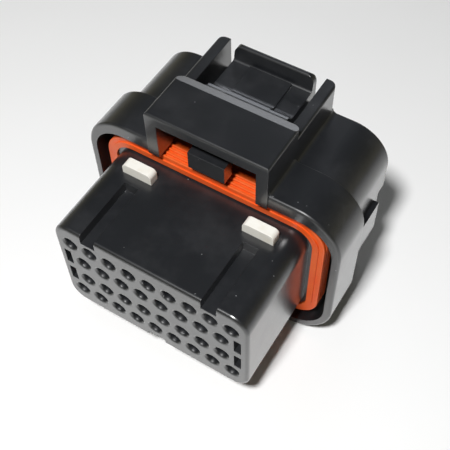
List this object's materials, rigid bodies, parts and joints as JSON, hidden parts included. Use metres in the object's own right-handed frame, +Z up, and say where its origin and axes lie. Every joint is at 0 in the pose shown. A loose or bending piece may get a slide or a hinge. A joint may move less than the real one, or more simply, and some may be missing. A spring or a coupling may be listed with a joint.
{
  "type": "sealed multi-way automotive connector socket housing",
  "caption": "Sealed rectangular wire connector socket half with rows of pin holes, ribbed face seal, bridge with rocking thumb latch, and push-in secondary lock",
  "frame": {"origin": "middle of the bounding box in X and Y, on the plane of the collar's flat bottom", "axes": "+X across the connector, +Y from the mating face to the wire side, +Z up towards the latch"},
  "size_m": [0.0382, 0.0316, 0.0326],
  "materials": {
    "black_plastic": "satin moulded black nylon",
    "orange_silicone": "satin orange silicone rubber",
    "white_plastic": "matt ivory white moulded plastic",
    "tinned_metal": "tin plated copper alloy, stamped"
  },
  "bodies": {
    "connector": {"housing": "black_plastic", "interface_seal": "orange_silicone", "wire_seal": "orange_silicone", "rear_cover": "black_plastic", "contact_01": "tinned_metal", "contact_02": "tinned_metal", "contact_03": "tinned_metal", "contact_04": "tinned_metal", "contact_05": "tinned_metal", "contact_06": "tinned_metal", "contact_07": "tinned_metal", "contact_08": "tinned_metal", "contact_09": "tinned_metal", "contact_10": "tinned_metal", "contact_11": "tinned_metal", "contact_12": "tinned_metal", "contact_13": "tinned_metal", "contact_14": "tinned_metal", "contact_15": "tinned_metal", "contact_16": "tinned_metal", "contact_17": "tinned_metal", "contact_18": "tinned_metal", "contact_19": "tinned_metal", "contact_20": "tinned_metal", "contact_21": "tinned_metal", "contact_22": "tinned_metal", "contact_23": "tinned_metal", "contact_24": "tinned_metal", "contact_25": "tinned_metal", "contact_26": "tinned_metal", "contact_27": "tinned_metal", "contact_28": "tinned_metal", "contact_29": "tinned_metal", "contact_30": "tinned_metal", "contact_31": "tinned_metal", "contact_32": "tinned_metal", "contact_33": "tinned_metal", "contact_34": "tinned_metal"},
    "latch": {"latch_lever": "black_plastic"},
    "lock": {"secondary_lock": "white_plastic"}
  },
  "joints": [
    {"name": "latch_rock", "type": "hinge", "parent": "connector", "child": "latch", "pos_m": [0, 0.00698, 0.0295], "axis": [-1, 0, 0], "range_deg": [0, 8], "stiffness_Nm_per_rad": 1.2},
    {"name": "lock_press", "type": "slide", "parent": "connector", "child": "lock", "axis": [0, 0, -1], "range_m": [0, 0.0015]}
  ]
}
